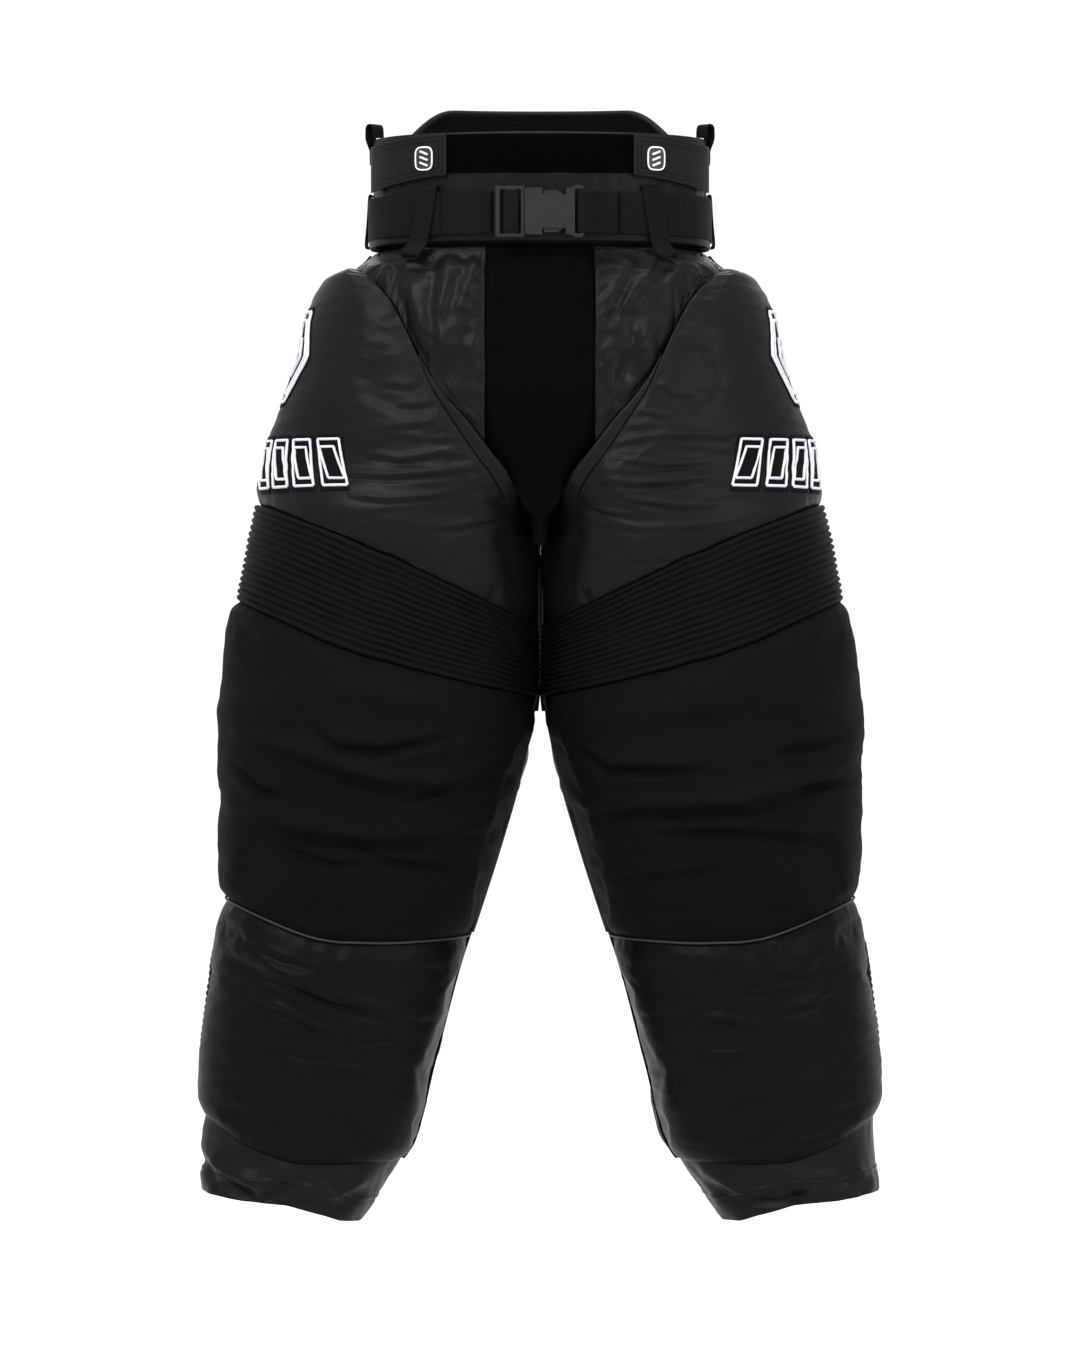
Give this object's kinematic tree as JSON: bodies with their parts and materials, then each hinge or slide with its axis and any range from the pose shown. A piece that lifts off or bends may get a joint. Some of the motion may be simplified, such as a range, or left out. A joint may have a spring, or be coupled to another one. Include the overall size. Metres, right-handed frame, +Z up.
{
  "type": "padded hockey goalkeeper trousers",
  "caption": "Full-length padded hockey goalkeeper trousers with hip, knee and shin pads, stretch knee panels and a buckled waist belt.",
  "frame": {"origin": "centre of the waist opening, at half the height of the belt webbing", "axes": "+Z up, -Y towards the front of the trousers, +X towards the wearer's left"},
  "size_m": [0.6388, 0.2844, 1.0483],
  "materials": {
    "satin": "black nylon satin with a soft sheen",
    "shin_satin": "blue-black satin",
    "knee_twill": "matt black twill",
    "stretch_knit": "matt black stretch knit",
    "ribbed_stretch": "ribbed stretch fabric",
    "webbing": "woven nylon webbing",
    "buckle_plastic": "moulded acetal",
    "hook_and_loop": "hook-and-loop tape",
    "foam": "closed-cell foam",
    "embroidered_patch": "black twill patch with white satin stitch",
    "badge_plastic": "plain moulded badge"
  },
  "bodies": {
    "trousers": {"waistband_front": "satin", "waistband_back": "satin", "waistband_lining": "satin", "thigh_pad_cover_left": "satin", "thigh_pad_cover_right": "satin", "pad_edge_strip_left": "satin", "pad_edge_strip_right": "satin", "hip_panel_left": "satin", "hip_panel_right": "satin", "thigh_back_panel_left": "satin", "thigh_back_panel_right": "satin", "crotch_panel": "stretch_knit", "crotch_gusset": "stretch_knit", "seat_panel": "stretch_knit", "knee_back_panel_left": "stretch_knit", "knee_back_panel_right": "stretch_knit", "accordion_panel_left": "ribbed_stretch", "accordion_panel_right": "ribbed_stretch", "belt_webbing": "webbing", "belt_adjuster": "webbing", "buckle_webbing": "webbing", "belt_loop_front_left": "webbing", "belt_loop_front_right": "webbing", "belt_loop_side_left": "webbing", "belt_loop_side_right": "webbing", "belt_loop_back": "webbing", "hanger_loop_left": "webbing", "hanger_loop_right": "webbing", "buckle_body": "buckle_plastic", "loop_strip": "hook_and_loop", "thigh_pad_foam_left": "foam", "thigh_pad_foam_right": "foam", "thigh_patch_upper_left": "embroidered_patch", "thigh_patch_upper_right": "embroidered_patch", "thigh_patch_lower_left": "embroidered_patch", "thigh_patch_lower_right": "embroidered_patch"},
    "lower_leg_left": {"knee_panel_left": "knee_twill", "knee_foam_left": "foam", "shin_panel_left": "shin_satin", "shin_foam_left": "foam", "cuff_left": "satin", "calf_back_panel_left": "satin", "calf_rib_patch_left": "ribbed_stretch"},
    "lower_leg_right": {"knee_panel_right": "knee_twill", "knee_foam_right": "foam", "shin_panel_right": "shin_satin", "shin_foam_right": "foam", "cuff_right": "satin", "calf_back_panel_right": "satin", "calf_rib_patch_right": "ribbed_stretch"},
    "tab_left": {"side_tab_left": "satin", "tab_hook_patch_left": "hook_and_loop", "tab_badge_left": "badge_plastic"},
    "tab_right": {"side_tab_right": "satin", "tab_hook_patch_right": "hook_and_loop", "tab_badge_right": "badge_plastic"},
    "clip": {"buckle_clip": "buckle_plastic", "clip_webbing": "webbing"},
    "prong_upper": {"buckle_prong_upper": "buckle_plastic"},
    "prong_lower": {"buckle_prong_lower": "buckle_plastic"}
  },
  "joints": [
    {"name": "knee_bend_left", "type": "hinge", "parent": "trousers", "child": "lower_leg_left", "pos_m": [0.15, -0.014, -0.41], "axis": [1, 0, 0], "range_deg": [0, 50], "stiffness_Nm_per_rad": 1, "springref_deg": -20.05, "deforming": ["accordion_panel_left", "knee_back_panel_left"]},
    {"name": "knee_bend_right", "type": "hinge", "parent": "trousers", "child": "lower_leg_right", "pos_m": [-0.15, -0.014, -0.41], "axis": [1, 0, 0], "range_deg": [0, 50], "stiffness_Nm_per_rad": 1, "springref_deg": -20.05, "deforming": ["accordion_panel_right", "knee_back_panel_right"]},
    {"name": "tab_open_left", "type": "hinge", "parent": "trousers", "child": "tab_left", "pos_m": [0.1585, -0.041, 0.045], "axis": [0, 0, 1], "range_deg": [0, 110]},
    {"name": "tab_open_right", "type": "hinge", "parent": "trousers", "child": "tab_right", "pos_m": [-0.1585, -0.041, 0.045], "axis": [0, 0, -1], "range_deg": [0, 110]},
    {"name": "buckle_release", "type": "slide", "parent": "trousers", "child": "clip", "axis": [-1, 0, 0], "range_m": [0, 0.03], "deforming": ["belt_adjuster"]},
    {"name": "prong_squeeze_upper", "type": "hinge", "parent": "clip", "child": "prong_upper", "pos_m": [-0.0135, -0.119, 0.0135], "axis": [0, 1, 0], "range_deg": [0, 8], "stiffness_Nm_per_rad": 0.3, "springref_deg": -5.73},
    {"name": "prong_squeeze_lower", "type": "hinge", "parent": "clip", "child": "prong_lower", "pos_m": [-0.0135, -0.119, -0.0135], "axis": [0, -1, 0], "range_deg": [0, 8], "stiffness_Nm_per_rad": 0.3, "springref_deg": -5.73}
  ],
  "couplings": [
    {"joint": "prong_squeeze_lower", "follows": "prong_squeeze_upper", "ratio": 1}
  ]
}
